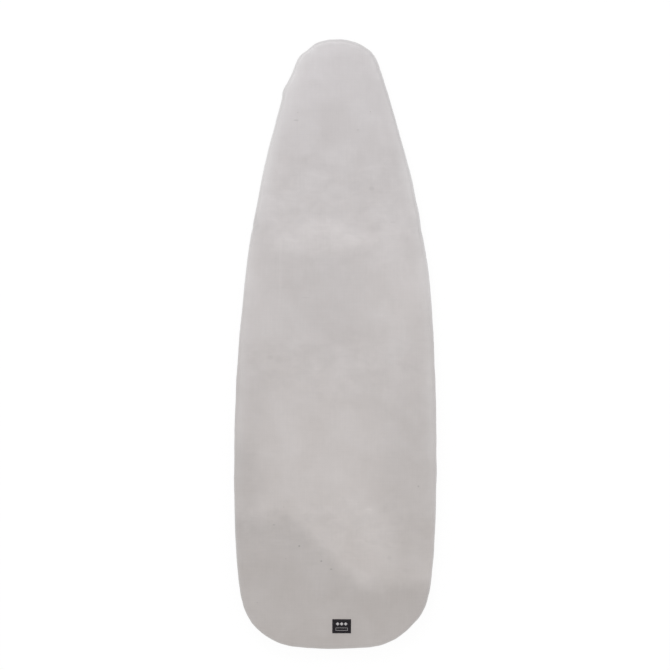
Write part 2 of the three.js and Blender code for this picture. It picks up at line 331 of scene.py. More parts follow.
# Gathers of the hem: how far the cloth rises and falls where the elastic draws it in
gathers = {
    "pitch": 0.0165,  # where the cloth is bunched most
    "flankPitch": 0.027,
    "most": 0.0025,
    "elasticPull": 0.025,  # share of spare cloth that the elastic takes up on a straight flank
    "spread": 0.045,  # spare cloth slides this far along the hem
    "leastRun": 0.2,  # share of the edge's length that the hem keeps in the sharpest bend
    "fullSpare": 0.5,  # share of spare cloth that bunches most
    "pitchWander": (0.28, 0.30, 0.05),  # share, longest and shortest wave
    "sizeWander": (0.35, 0.20, 0.04),
    "everyOther": 0.30,  # every other gather is larger by this share
    "otherShift": 0.8,
    "pressed": 0.6,  # share left of what hangs down, pressed by the surface below
    "sideFold": 1.2,  # folds of the side, by the size of the gathers
    "seed": 5,
}


def wandering(seed, share, longest, shortest):
    return 1 + share * edgeWander(seed, longest, shortest)


# Spare cloth round the bends decides how deep the gathers are
bend = flatCross(np.roll(heading, 1, axis=0), np.roll(heading, -1, axis=0)) / (2 * step)
cutBeyond = skin["topRoll"] * (quarter - 1) + sideHeight + skin["underRoll"] * quarter
cutBeyond += math.hypot(flangeRun, skin["hemDrop"])
spare = (1 + cutBeyond * bend) / np.maximum(1 - skin["tuck"] * bend, gathers["leastRun"]) - 1
spare = smoothRound(np.maximum(spare, 0), gathers["spread"]) + gathers["elasticPull"]
bunched = ease(spare / gathers["fullSpare"])
pitch = gathers["flankPitch"] + (gathers["pitch"] - gathers["flankPitch"]) * bunched
pitch *= wandering(gathers["seed"], *gathers["pitchWander"])
gatherPhase = np.cumsum(1 / pitch)
gatherPhase *= 2 * math.pi * 2 * round(gatherPhase[-1] * step / 2) / gatherPhase[-1]
gatherSize = np.minimum(pitch / math.pi * np.sqrt(spare), gathers["most"])
gatherSize *= wandering(gathers["seed"] + 1, *gathers["sizeWander"])
everyOther = np.sin(gatherPhase / 2 + gathers["otherShift"])
hemRise = gatherSize * (np.sin(gatherPhase) + gathers["everyOther"] * everyOther)
hemRise = np.where(hemRise > 0, hemRise, hemRise * gathers["pressed"])
print(f"gathers: {round(gatherPhase[-1] / 2 / math.pi)} round the hem")


def makeObject(name, mesh, material, smooth=True):
    piece = bpy.data.objects.new(name, mesh)
    bpy.context.scene.collection.objects.link(piece)
    mesh.materials.append(material)
    if smooth:
        mesh.polygons.foreach_set("use_smooth", np.ones(len(mesh.polygons), bool))
    return piece


def setAll(owner, values):
    for name, value in values.items():
        setattr(owner, name, value)


# A mesh whose uv map "cut" holds the cloth's own measure, in metres, given for each place or corner
def clothMesh(name, places, faces, flat, byPlace=True):
    mesh = bpy.data.meshes.new(name)
    mesh.from_pydata(places, [], faces)
    if byPlace:
        corners = np.empty(len(mesh.loops), np.int32)
        mesh.loops.foreach_get("vertex_index", corners)
        flat = flat[corners]
    mesh.uv_layers.new(name="cut").data.foreach_set("uv", flat.astype(np.float32).ravel())
    mesh.update()
    return mesh


def numbered(rows, columns, first=0):
    return first + np.arange(rows * columns).reshape(rows, columns)


# Quads between rows of places that close round, facing up where each row lies outside the one before
def bandFaces(rows):
    after = np.roll(rows, -1, axis=1)
    return np.stack([rows[:-1], rows[1:], after[1:], after[:-1]], axis=2).reshape(-1, 4).tolist()


# Triangles between a ring and one with twice as many places
def doublingFaces(inner, outer):
    after, left, middle = np.roll(inner, -1), outer[::2], outer[1::2]
    right = np.roll(left, -1)
    faces = [inner, left, middle, inner, middle, after, after, middle, right]
    return np.stack(faces, axis=1).reshape(-1, 3).tolist()


# The four corners of each cell of a grid
def cellCorners(grid):
    return np.stack([grid[:-1, :-1], grid[:-1, 1:], grid[1:, 1:], grid[1:, :-1]], axis=2)


# Rows of places that close round a cord or tape; girth is the measure at each row and at the first again
def tubeMesh(name, rows, girth):
    index = np.pad(numbered(len(rows), count), ((0, 1), (0, 1)), mode="wrap")
    faces = cellCorners(index).reshape(-1, 4)
    flat = np.stack(np.meshgrid(np.append(along, around), girth), axis=2)
    spots = cellCorners(flat).reshape(-1, 2)
    return clothMesh(name, rows.reshape(-1, 3), faces.tolist(), spots, byPlace=False)


# Rows of a level face start on the middle line, where both halves share their places
faceAxis = {
    "tailShare": 0.75,  # of the tail's corner radius, from the end to the axis
    "byHeight": 0.65,  # share that follows the edge's height; the rest follows its length
}


def axisPlaces():
    o = outline
    low = faceAxis["tailShare"] * o["tail"]["cornerRadius"] - o["length"] / 2
    high = o["length"] / 2 - o["nose"]["cornerRadius"]
    byHeight = (rightHalf[:, 1] + o["length"] / 2) / o["length"]
    byLength = np.linspace(0, 1, halfCount + 1)
    share = faceAxis["byHeight"] * byHeight + (1 - faceAxis["byHeight"]) * byLength
    return np.stack([np.zeros_like(share), low + (high - low) * share], axis=1)


# Station to place on the middle line
def mirrored(total):
    return np.minimum(np.arange(total), total - np.arange(total))


axis = axisPlaces()
axisRound = axis[mirrored(count)]
coarse = slice(None, None, 2)  # level faces need only every second station
coarseAxis = axis[coarse]
coarseMirrored = mirrored(halfCount)[None]
middleLift = reliefAt(*coarseAxis.T)


# Rows of a level face inside its border, from the middle line out; the face takes a share of the relief
def faceRows(level, share, border, rows, crowding):
    found = []
    for out in (np.arange(1, rows) / rows) ** crowding:
        flat = axisRound * (1 - out) + border * out
        found.append(np.column_stack([flat, level + faceLift(flat) * share]))
    return found


# Cloth simulation: the skirt was cut for an open hem, and settles where the elastic draws it in
settling = {
    "openTurn": math.radians(38),  # how far the flange hangs open in the shape the cloth remembers
    "frames": 16,
    "fabric": {  # as the cloth's settings name them
        "quality": 4,
        "mass": 0.05,
        "tension_stiffness": 30.0,
        "compression_stiffness": 30.0,
        "shear_stiffness": 10.0,
        "bending_stiffness": 0.3,
        "tension_damping": 4.0,
        "compression_damping": 4.0,
        "shear_damping": 4.0,
    },
    "clothGap": 0.0006,
    "boardFace": {"thickness_outer": 0.0004, "cloth_friction": 4.0},
    "boardClear": 0.0012,
    "boardPast": 0.012,  # the board goes on this far past the raw edge
    "rollHeld": 0.25,  # share of the roll that is held firmly; from there the hold fades
    "hemFade": 0.006,  # beside the tape, the seam still steadies the cloth this far
    "farthest": 0.0040,  # no place moves more than this
    "leastFold": 0.0032,  # cloth of this thickness folds no more sharply
    "lowest": 0.0004,
}


# The flange under the board, by the share of its run: drawn in by the elastic, hanging open, or flat
def drawnFlange(share):
    drop = ease(share / (1 - tape["lip"] / flangeRun))
    level = underLevel + (hemLevel - skin["thickness"] / 2 - underLevel) * drop
    return skin["underRoll"] + flangeRun * share, level


def openFlange(share):
    run = flangeRun * share
    turn = settling["openTurn"]
    return skin["underRoll"] + run * math.cos(turn), underLevel - run * math.sin(turn)


def boardFlange(share):
    return skin["underRoll"] + (flangeRun + settling["boardPast"]) * share, underLevel


# Section of the skin past its flat face: inset, level, way out (across, up), and the length of cloth
def skirtSection(flange):
    s = skin
    section = []
    for turn in np.linspace(0, quarter, s["rollRows"] + 1):
        across, up = math.sin(turn), math.cos(turn)
        section.append((s["topRoll"] * (1 - across), topLevel - s["topRoll"] * (1 - up), across, up))
    for i in range(1, s["sideRows"]):
        section.append((0, topLevel - s["topRoll"] - sideHeight * i / s["sideRows"], 1, 0))
    for turn in np.linspace(0, quarter, s["underRows"] + 1):
        across, down = math.cos(turn), math.sin(turn)
        level = underLevel + s["underRoll"] * (1 - down)
        section.append((s["underRoll"] * (1 - across), level, across, -down))
    for i in range(1, s["flangeRows"] + 1):
        section.append((*flange(i / s["flangeRows"]), 0, -1))
    section = np.array(section)
    return section, reachAlong(section[:, :2])


# Share of the face's lift that carries over the roll, by the length of cloth from its start
def rollShare(reach):
    return 1 - ease(reach / (skin["liftCarries"] * rollLength))


# How far the edge's dents move the cloth out, by the share of the face's lift there
def leanOut(onRoll):
    return edgeOut * (1 - onRoll * skin["rimHeld"])


# Rings of the skirt, from the face's rim to the raw edge, and the cloth's own measure at each;
# gathered is the share of the hem's gathers, and within lies that far inside the cloth
def skirtRings(flange=drawnFlange, gathered=1.0, within=0.0):
    section, length = skirtSection(flange)
    foldsFrom = skin["foldsFrom"] * rollLength
    hemRun = length[-1] - tape["lip"] - foldsFrom
    pucker = skin["pucker"]
    puckers = pucker["depth"] * np.sin(gatherPhase / 2 + pucker["shift"]) * bunched
    sideFolds = gatherSize * (1 + everyOther) / 2 * gathers["sideFold"] * gathered
    rings, flats = [], []
    for (depth, level, out, up), reach in zip(section, length):
        onRoll = rollShare(reach)
        down = ease((reach - foldsFrom) / hemRun)
        push = puckers * hump(reach - pucker["at"] * rollLength, pucker["reach"])
        lean = leanOut(onRoll) * (1 - down) - push * abs(out) + sideFolds * out * down
        rise = rimLift * onRoll + gathered * hemRise * down * (1 - abs(out)) - push * up
        flat = inset(depth + within * out) - inward * lean[:, None]
        rings.append(np.column_stack([flat, level + rise - within * up]))
        flats.append(rim - inward * reach)
    return np.stack(rings), np.stack(flats), length


def ringObject(name, rings):
    mesh = bpy.data.meshes.new(name)
    mesh.from_pydata(rings.reshape(-1, 3), [], bandFaces(numbered(len(rings), count)))
    piece = bpy.data.objects.new(name, mesh)
    bpy.context.scene.collection.objects.link(piece)
    return piece


# How firmly each ring is held: the start of the roll and the taped hem do not move
def ringHold(reach):
    held = settling["rollHeld"]
    onRoll = 1 - ease((reach - held * rollLength) / ((1 - held) * rollLength))
    lipStart = reach[-1] - tape["lip"]
    return np.maximum(onRoll, ease((reach - lipStart) / settling["hemFade"] + 1))


# The skirt as cloth, drawn in by its hem, that remembers the open flange
def skirtCloth(rings, reach):
    cloth = ringObject("skirt", rings)
    held = cloth.vertex_groups.new(name="held")
    for i, share in enumerate(ringHold(reach)):
        held.add(list(range(i * count, (i + 1) * count)), float(share), "REPLACE")
    cloth.shape_key_add(name="drawn in")
    opened = cloth.shape_key_add(name="open")
    opened.data.foreach_set("co", skirtRings(openFlange, 0.0)[0].astype(np.float32).ravel())
    opened.value = 0.0
    modifier = cloth.modifiers.new("settle", "CLOTH")
    setAll(modifier.settings, settling["fabric"])
    modifier.settings.vertex_group_mass = held.name
    modifier.settings.rest_shape_key = opened
    modifier.settings.effector_weights.gravity = 0.0
    modifier.collision_settings.distance_min = settling["clothGap"]
    modifier.point_cache.frame_end = settling["frames"]
    return cloth


def settledRings(rings, reach):
    s = settling
    scene = bpy.context.scene
    cloth = skirtCloth(rings, reach)
    board = ringObject("board", skirtRings(boardFlange, 0.0, s["boardClear"])[0])
    board.modifiers.new("firm", "COLLISION")
    setAll(board.collision, s["boardFace"])
    for number in range(1, s["frames"] + 1):
        scene.frame_set(number)
    found = cloth.evaluated_get(bpy.context.evaluated_depsgraph_get()).data
    places = np.empty(rings.size, np.float32)
    found.vertices.foreach_get("co", places)
    move = places.reshape(rings.shape).astype(float) - rings
    far = np.linalg.norm(move, axis=2, keepdims=True)
    print(f"skirt settled: moved {far.max() * 1000:.2f} mm at most, {far.mean() * 1000:.2f} mm on average")
    move *= s["farthest"] / np.maximum(far, s["farthest"])
    for ring in move:
        for k in range(3):
            ring[:, k] = smoothRound(ring[:, k], s["leastFold"])
    move[1:-1] = (move[:-2] + 2 * move[1:-1] + move[2:]) / 4
    settled = rings + move
    settled[..., 2] = np.maximum(settled[..., 2], np.minimum(rings[..., 2], s["lowest"]))
    scene.frame_set(1)
    for piece in (cloth, board):
        bpy.data.objects.remove(piece)
    return settled


# Painted highlight along the edge, where the rim's roll catches the light: most where the padding lies
# slack
paintedRimLight = {
    "least": 0.35,
    "fullDrop": 0.0024,
    "reach": 0.032,
    "faceRun": (-0.400, -0.100),  # behind its start the square end lay folded away: only the roll gets the painted highlight
    "noseMore": 1.2,  # the roll of the nose's half, nearest the light, gets the most painted highlight
    "noseRun": (-0.050, 0.150),
}


# Zero behind the start of a run along the cover, one past its end
def upTheEdge(run):
    return ease((edge[:, 1] - run[0]) / (run[1] - run[0]))


# Painted highlight along the edge, on the face and more on the roll
edgeHighlight = np.clip(edgeDrop / paintedRimLight["fullDrop"], paintedRimLight["least"], 1)
faceHighlight = edgeHighlight * upTheEdge(paintedRimLight["faceRun"])
rollHighlight = edgeHighlight + paintedRimLight["noseMore"] * upTheEdge(paintedRimLight["noseRun"])


def coverMesh(rings, ringFlats, ringReach):
    middle = np.column_stack([coarseAxis, topLevel + middleLift])
    face = np.stack(faceRows(topLevel, 1.0, rim, skin["topRows"], skin["topCrowding"]))
    away = np.linalg.norm(face[..., :2] - edge, axis=2)
    # Painted highlight at each place: none at the middle, rising towards the rim and over the roll
    paintedHighlight = [np.zeros(len(middle)), *(faceHighlight * ease(1 - away / paintedRimLight["reach"]))[:, coarse]]
    rimHighlight = faceHighlight * ease(1 - skin["topRoll"] / paintedRimLight["reach"])
    for share in ringReach / rollLength:
        paintedHighlight.append((rimHighlight + (rollHighlight - rimHighlight) * ease(share)) * ease(2 - share))
    index = numbered(skin["topRows"] - 1, halfCount, len(coarseAxis))
    ringIndex = numbered(len(rings), count, index[-1, -1] + 1)
    faces = bandFaces(np.concatenate([coarseMirrored, index]))
    faces += doublingFaces(index[-1], ringIndex[0]) + bandFaces(ringIndex)
    face = face[:, coarse]
    flats = np.concatenate([coarseAxis, *face[..., :2], *ringFlats])
    mesh = clothMesh("cover_fabric_cloth", np.concatenate([middle, *face, *rings]), faces, flats)
    # The painted highlight goes with the cloth as a layer of its mesh
    worn = mesh.attributes.new("paintedHighlight", "FLOAT", "POINT")
    worn.data.foreach_set("value", np.concatenate(paintedHighlight).astype(np.float32))
    return mesh


# Padding: level faces, and an edge that fills the skin's roll
padding = {
    "clear": 0.0003,  # between two layers
    "faceRows": 12,
    "faceCrowding": 0.8,  # as on the skin
    "edgeRows": 6,
    "middleRelief": 0.5,  # share of the ironing face's relief between foam and felt
}


# Places on the padding's edge at a level, under the skin's roll
def padEdge(level):
    radius = skin["topRoll"] - skin["thickness"] - padding["clear"]
    turn = math.acos(min(1, (level - topLevel + skin["topRoll"]) / radius))
    onRoll = rollShare(turn * skin["topRoll"])
    flat = inset(skin["topRoll"] - radius * math.sin(turn)) - inward * leanOut(onRoll)[:, None]
    return np.column_stack([flat, level + rimLift * onRoll])


# One layer between two levels; each face takes a share of the ironing face's relief
def padMesh(name, low, high, lowShare, highShare):
    levels = np.linspace(low, high, padding["edgeRows"] + 1)
    side = [padEdge(level) for level in levels]
    spread = (padding["faceRows"], padding["faceCrowding"])
    below = faceRows(low, lowShare, side[0][:, :2], *spread)
    above = faceRows(high, highShare, side[-1][:, :2], *spread)[::-1]
    rings = np.stack(below + side + above)[:, coarse]
    flats = rings[..., :2].copy()
    for ring, level in zip(flats[len(below) :], levels):
        ring[:] = side[0][coarse, :2] - inward[coarse] * (level - low)
    places = [np.column_stack([coarseAxis, low + middleLift * lowShare])]
    places += [np.column_stack([coarseAxis, high + middleLift * highShare]), *rings]
    flats = np.concatenate([coarseAxis, coarseAxis, *flats])
    index = numbered(len(rings), halfCount, 2 * len(coarseAxis))
    index = np.concatenate([coarseMirrored, index, len(coarseAxis) + coarseMirrored])
    return clothMesh(name, np.concatenate(places), bandFaces(index[::-1]), flats)


# The hem's line along the elastic, and the two ways across it: in, and up out of its slope
hemLine = np.column_stack([inset(hemInset), hemLevel + hemRise])
hemIn = np.column_stack([inward, np.zeros(count)])
hemUp = unit(np.cross(headingRound(hemLine), hemIn))


# A line along the hem, at an inset from the edge and a rise above the hem's own line
def besideHem(across, rise):
    return hemLine + hemIn * (across - hemInset) + hemUp * rise


# Places on part of the tunnel's wall, from one share of half a turn to the other
def tunnelArc(radius, start, end, rows):
    turns = math.pi * np.linspace(start, end, rows)
    return [(hemInset + radius * math.cos(turn), radius * math.sin(turn)) for turn in turns]


# The tape's section: out over the upper lap, round the tunnel and back under the lower lap
def tapeSection():
    t = tape
    starts = ((lipInset, t["lipEdge"]), (seamInset, t["seamDip"]), (skin["tuck"], t["lapEnd"]))
    lap = [(start + on, lapLevel + t["thickness"] * high) for start, line in starts for on, high in line]
    wall = tunnelArc(t["tunnelRadius"] + t["thickness"], t["wallTurn"], -t["wallTurn"], t["wallRows"])
    hollow = tunnelArc(t["tunnelRadius"], -t["hollowTurn"], t["hollowTurn"], t["hollowRows"])
    inside = [(skin["tuck"] + t["innerEnd"], lapLevel), (lipInset, lapLevel)]
    lower = [(across, -rise) for across, rise in lap[::-1] + inside[::-1]]
    return np.array(lap + wall + lower + hollow + inside)


def tapeMesh():
    t = tape
    section = tapeSection()
    crimp = t["crimp"] * edgeWander(t["crimpSeed"], *t["crimpWaves"])
    crimp *= t["flankCrimp"] + (1 - t["flankCrimp"]) * bunched
    rows = []
    for across, rise in section:
        onLap = 1 - ease((across - skin["tuck"]) / t["flare"] + 0.5)
        way = np.sign(rise) * (abs(rise) > t["crimpFrom"])
        rows.append(besideHem(across, (rise + crimp * onLap * way)[:, None]))
    rows = np.stack(rows)
    pressed = t["floorGap"] + t["pressedShare"] * np.minimum(rows[..., 2], t["pressedBelow"])
    rows[..., 2] = np.maximum(rows[..., 2], pressed)
    return tubeMesh("hem_tape_cloth", rows, reachAlong(np.concatenate([section, section[:1]])))


elastic = {"radius": 0.00142, "sides": 10}


def elasticMesh():
    radius = elastic["radius"]
    turns = np.linspace(0, 2 * math.pi, elastic["sides"] + 1)
    rows = [besideHem(hemInset + radius * math.cos(turn), -radius * math.sin(turn)) for turn in turns[:-1]]
    return tubeMesh("hem_elastic_cord", np.stack(rows), radius * turns)


stitching = {
    "sides": 6,
    "girth": (0.55, 0.9, 1.0, 1.0, 1.0, 0.9, 0.55),  # along a stitch
    "halfLength": 0.0013,  # the thread's own measure, from a stitch's middle to its end
    "dipPower": 4,  # how steeply the ends go down
}


# Stitches: short lengths of thread that dip into the cloth at both ends
def stitchMesh(name, starts, ends, above, radius, dip):
    rows, sides = len(stitching["girth"]), stitching["sides"]
    run = ends - starts
    beside = np.cross(above, unit(run))
    places, flats = [], []
    for t, girth in zip(np.linspace(-1, 1, rows), stitching["girth"]):
        middle = (starts + ends) / 2 + run / 2 * t - above * dip * t ** stitching["dipPower"]
        for turn in np.arange(sides) * 2 * math.pi / sides:
            out = beside * math.cos(turn) + above * math.sin(turn)
            places.append(middle + out * radius * girth)
            flats.append((t * stitching["halfLength"], radius * turn))
    index = numbered(rows, sides)
    faces = bandFaces(index[::-1]) + [index[0, ::-1].tolist(), index[-1].tolist()]
    firsts = np.arange(len(starts)) * rows * sides
    allFaces = [[k + first for k in face] for first in firsts.tolist() for face in faces]
    spots = np.tile([flats[k] for face in faces for k in face], (len(starts), 1))
    return clothMesh(name, np.stack(places, axis=1).reshape(-1, 3), allFaces, spots, byPlace=False)


hemSeam = {
    "stitch": 0.0031,
    "gap": 0.0005,
    "radius": 0.00028,
    "sunk": 0.8,  # share of the tape's thickness left under the stitches
    "lift": 0.7,  # of the thread's radius, from there to its middle
    "dip": 0.00034,
}


def hemStitchMesh():
    s = hemSeam
    lap = lapLevel + tape["thickness"] * s["sunk"] + s["radius"] * s["lift"]
    sides = []
    for way in (1, -1):
        seam = besideHem(seamInset, way * lap)
        seam = np.concatenate([seam, seam[:1]])
        up = np.concatenate([hemUp, hemUp[:1]]) * way
        reach = reachAlong(seam)
        stitches = int(reach[-1] / (s["stitch"] + s["gap"]))
        at = np.arange(stitches) * reach[-1] / stitches
        ends = readAt(at + s["stitch"], reach, seam)
        sides.append((readAt(at, reach, seam), ends, readAt(at + s["stitch"] / 2, reach, up)))
    starts, ends, ups = (np.concatenate(lines) for lines in zip(*sides))
    return stitchMesh("hem_stitching_thread", starts, ends, ups, s["radius"], s["dip"])


label = {
    "width": labelHigh.x - labelLow.x,
    "length": labelHigh.y - labelLow.y,
    "thickness": labelHigh.z - labelLow.z,
    "middle": ((labelLow.x + labelHigh.x) / 2, (labelLow.y + labelHigh.y) / 2),
    "cell": 0.0005,
    "foldedEnd": 0.0045,  # the ends are turned under this far
    "foldSoft": 0.0008,
    "single": 0.78,  # share of the thickness between the folded ends
    "upright": 0.25,  # share of the thickness that stands upright at the edge; the rest is rounded
    "rounding": 0.0007,
    "uneven": {"height": 0.00006, "across": 420, "up": 380, "shift": 1.0},
    "sideWave": {"size": 0.00007, "up": 900, "shift": 0.6, "power": 6},  # of the woven edges
    "seamInset": 0.0018,
    "seamDepth": 0.00016,
    "seamReach": 0.0006,
    "tug": 0.4,  # share of that depth that comes and goes with the stitches
    "stitch": 0.0024,
    "stitchGap": 0.0005,
    "stitchEnd": 0.08,  # share of a stitch's pitch that is free before and after it
    "threadRadius": 0.0002,
    "threadLift": 0.75,
    "dip": 0.0002,
}


def labelBase(x, y):
    return labelLow.z + reliefAt(x, y)


# The label's upper face: rounded at its edges, thicker over its folded ends, drawn in at the seam
def labelTop(u, v):
    toSide = label["width"] / 2 - np.abs(u)
    toEnd = label["length"] / 2 - np.abs(v)
    toEdge = np.minimum(toSide, toEnd)
    folded = ease((label["foldedEnd"] - toEnd) / label["foldSoft"] + 0.5)
    full = label["thickness"] * (label["single"] + (1 - label["single"]) * folded)
    rounding = np.sqrt(1 - np.clip(1 - toEdge / label["rounding"], 0, 1) ** 2)
    onSide = np.where(toSide < toEnd, v, u)
    wave = np.cos(2 * math.pi * onSide / (label["stitch"] + label["stitchGap"]))
    seam = label["seamDepth"] * hump(toEdge - label["seamInset"], label["seamReach"])
    seam *= 1 - label["tug"] + label["tug"] * wave
    uneven = label["uneven"]
    bulge = uneven["height"] * np.sin(u * uneven["across"] + uneven["shift"]) * np.sin(v * uneven["up"])
    return full * (label["upright"] + (1 - label["upright"]) * rounding) - seam + bulge


def labelMesh():
    halfWidth, halfLength = label["width"] / 2, label["length"] / 2
    columns = round(label["width"] / label["cell"]) + 1
    lines = round(label["length"] / label["cell"]) + 1
    across = np.linspace(-halfWidth, halfWidth, columns)
    u, v = np.meshgrid(across, np.linspace(-halfLength, halfLength, lines))
    side = label["sideWave"]
    wave = side["size"] * np.sin(v * side["up"] + side["shift"]) * (np.abs(u) / halfWidth) ** side["power"]
    x, y = label["middle"][0] + u + wave, label["middle"][1] + v
    base = labelBase(x, y)
    upper, lower = (np.stack([x, y, z], axis=2).reshape(-1, 3) for z in (base + labelTop(u, v), base))
    grid = numbered(lines, columns)
    top = cellCorners(grid).reshape(-1, 4)
    ring = np.concatenate([grid[0, :-1], grid[:-1, -1], grid[-1, :0:-1], grid[:0:-1, 0]])
    after = np.roll(ring, -1)
    sides = np.stack([after, ring, len(upper) + ring, len(upper) + after], axis=1)
    faces = np.concatenate([top, len(upper) + top[:, ::-1], sides])
    flat = np.tile(np.stack([u, v], axis=2).reshape(-1, 2), (2, 1))
    return clothMesh("woven_label_cloth", np.concatenate([upper, lower]), faces.tolist(), flat)


# The seam's height over the label, at places measured from its middle
def onLabel(points):
    u, v = np.array(points).T
    x, y = label["middle"][0] + u, label["middle"][1] + v
    lift = label["threadRadius"] * label["threadLift"]
    return np.column_stack([x, y, labelBase(x, y) + labelTop(u, v) + lift])


def labelStitchMesh():
    corners = np.array([(-1, -1), (1, -1), (1, 1), (-1, 1), (-1, -1)])
    corners = corners * (label["width"] / 2 - label["seamInset"], label["length"] / 2 - label["seamInset"])
    starts, ends = [], []
    for a, b in zip(corners, corners[1:]):
        stitches = round(np.linalg.norm(b - a) / (label["stitch"] + label["stitchGap"]))
        for i in range(stitches):
            starts.append(a + (b - a) * (i + label["stitchEnd"]) / stitches)
            ends.append(a + (b - a) * (i + 1 - label["stitchEnd"]) / stitches)
    up = np.tile((0.0, 0.0, 1.0), (len(starts), 1))
    radius, dip = label["threadRadius"], label["dip"]
    return stitchMesh("label_stitching_thread", onLabel(starts), onLabel(ends), up, radius, dip)


# The node tree of the first linked value
def treeOf(values):
    return next(value.id_data for value in values if isinstance(value, bpy.types.NodeSocket))


def put(socket, value):
    if isinstance(value, bpy.types.NodeSocket):
        socket.id_data.links.new(value, socket)
    else:
        socket.default_value = value


# Inputs by name, with an underscore for each space
def fill(node, **inputs):
    for name, value in inputs.items():
        put(node.inputs[name.replace("_", " ")], value)


# A node goes into the tree that its inputs come from, unless a tree is given
def addNode(kind, settings={}, tree=None, **inputs):
    tree = tree or treeOf(inputs.values())
    node = tree.nodes.new("ShaderNode" + kind)
    setAll(node, settings)
    fill(node, **inputs)
    return node


def calcNode(kind, operation, *values):
    node = addNode(kind, {"operation": operation}, treeOf(values))
    for socket, value in zip(node.inputs, values):
        put(socket, value)
    return node


def calc(operation, *values):
    return calcNode("Math", operation, *values).outputs[0]


def splitXY(vector):
    node = addNode("SeparateXYZ", Vector=vector)
    return node.outputs["X"], node.outputs["Y"]


# Coordinates turned first, then stretched along their new axes
def stretch(vector, scale, turn=0.0):
    if turn:
        vector = addNode("Mapping", Vector=vector, Rotation=(0.0, 0.0, turn)).outputs[0]
    return addNode("Mapping", Vector=vector, Scale=scale).outputs[0]


def noise(vector, scale, detail=2.0, roughness=0.5, distortion=0.0):
    inputs = {"Scale": scale, "Detail": detail, "Roughness": roughness, "Distortion": distortion}
    return addNode("TexNoise", Vector=vector, **inputs).outputs["Fac"]


def remap(value, fromLow, fromHigh, toLow=0.0, toHigh=1.0):
    limits = {"From_Min": fromLow, "From_Max": fromHigh, "To_Min": toLow, "To_Max": toHigh}
    return addNode("MapRange", Value=value, **limits).outputs[0]


def blendColour(share, a, b, kind="MIX"):
    settings = {"data_type": "RGBA", "blend_type": kind}
    return addNode("Mix", settings, Factor=share, A=a, B=b).outputs["Result"]


# A shader group; build takes its inputs in order, given with their defaults, and names its outputs
def nodeGroup(name, build, inputs):
    group = bpy.data.node_groups.new(name, "ShaderNodeTree")
    for given, value in inputs.items():
        kind = "NodeSocketFloat" if isinstance(value, float) else "NodeSocketVector"
        group.interface.new_socket(given, in_out="INPUT", socket_type=kind).default_value = value
    start = group.nodes.new("NodeGroupInput")
    outputs = build(*[start.outputs[given] for given in inputs])
    for given in outputs:
        group.interface.new_socket(given, in_out="OUTPUT", socket_type="NodeSocketFloat")
    end = group.nodes.new("NodeGroupOutput")
    for given, value in outputs.items():
        group.links.new(value, end.inputs[given])
    return group


def useGroup(group, **inputs):
    return addNode("Group", {"node_tree": group}, **inputs).outputs


slubs = {"warp": (420.0, 16.0, 1.0), "weft": (13.0, 460.0, 1.0)}  # to the metre, across and along


# Plain weave: warp and weft take turns on top, with thicker and thinner yarns among them
def weaveNodes(cut, yarns):
    x, y = splitXY(cut)
    density = calc("MULTIPLY", yarns, math.pi)
    warp = calc("SINE", calc("MULTIPLY", x, density))
    weft = calc("SINE", calc("MULTIPLY", y, density))
    turns = calc("MULTIPLY", warp, weft)
    warpUp = calc("MULTIPLY_ADD", turns, 0.5, 0.5)
    weftUp = calc("MULTIPLY_ADD", turns, -0.5, 0.5)
    warpHeight = calc("MULTIPLY", calc("ABSOLUTE", warp), warpUp)
    weftHeight = calc("MULTIPLY", calc("ABSOLUTE", weft), weftUp)
    alongWarp = noise(stretch(cut, slubs["warp"]), 1.0)
    alongWeft = noise(stretch(cut, slubs["weft"]), 1.0)
    slub = calc("MULTIPLY", calc("ADD", alongWarp, alongWeft), 0.5)
    return {"Height": calc("MAXIMUM", warpHeight, weftHeight), "Slub": slub, "Warp": warpUp}


specks = {"perCloud": 1.6, "radius": (0.010, 0.022)}  # where a speck starts to fade and ends


# Cloudy unevenness, and small specks among it
def cloudNodes(cut, size):
    scale = calc("DIVIDE", 1.0, size)
    cells = addNode("TexVoronoi", Vector=cut, Scale=calc("MULTIPLY", scale, specks["perCloud"]))
    speck = remap(cells.outputs["Distance"], *specks["radius"], 1.0, 0.0)
    return {"Cloud": noise(cut, scale, detail=4.0, roughness=0.55, distortion=0.4), "Speck": speck}


lying = {
    "turns": (0.2, 0.95, 1.7, 2.5),
    "drawn": (1.0, 0.08, 1.0),  # scale across and along a fibre: the smaller, the longer it is
    "strayTurn": 2.1,
    "strayDrawn": (1.0, 0.07, 1.0),
    "strayShare": 0.8,  # of the others' number to the metre
}


# Fibres that lie in all directions
def fibreNodes(cut, perMetre):
    height = 0.0
    for turn in lying["turns"]:
        strand = noise(stretch(cut, lying["drawn"], turn), perMetre, roughness=0.6, distortion=1.2)
        height = calc("MAXIMUM", height, strand)
    fewer = calc("MULTIPLY", perMetre, lying["strayShare"])
    drawn = stretch(cut, lying["strayDrawn"], lying["strayTurn"])
    return {"Height": height, "Stray": noise(drawn, fewer, detail=1.0, distortion=2.5)}


# Twisted or braided strands along a thread or cord
def twistNodes(cut, turns, girthTurns):
    x, y = splitXY(cut)
    lengthways = calc("MULTIPLY", x, turns)
    girth = calc("MULTIPLY", y, girthTurns)
    ways = []
    for operation in ("ADD", "SUBTRACT"):
        slant = calc("MULTIPLY", calc(operation, lengthways, girth), math.pi)
        ways.append(calc("ABSOLUTE", calc("SINE", slant)))
    return {"Height": ways[0], "Braid": calc("MAXIMUM", *ways)}


patchEdge = {"perMetre": 22.0, "broken": 0.9, "fades": (0.55, 1.25)}  # the last two by the reach


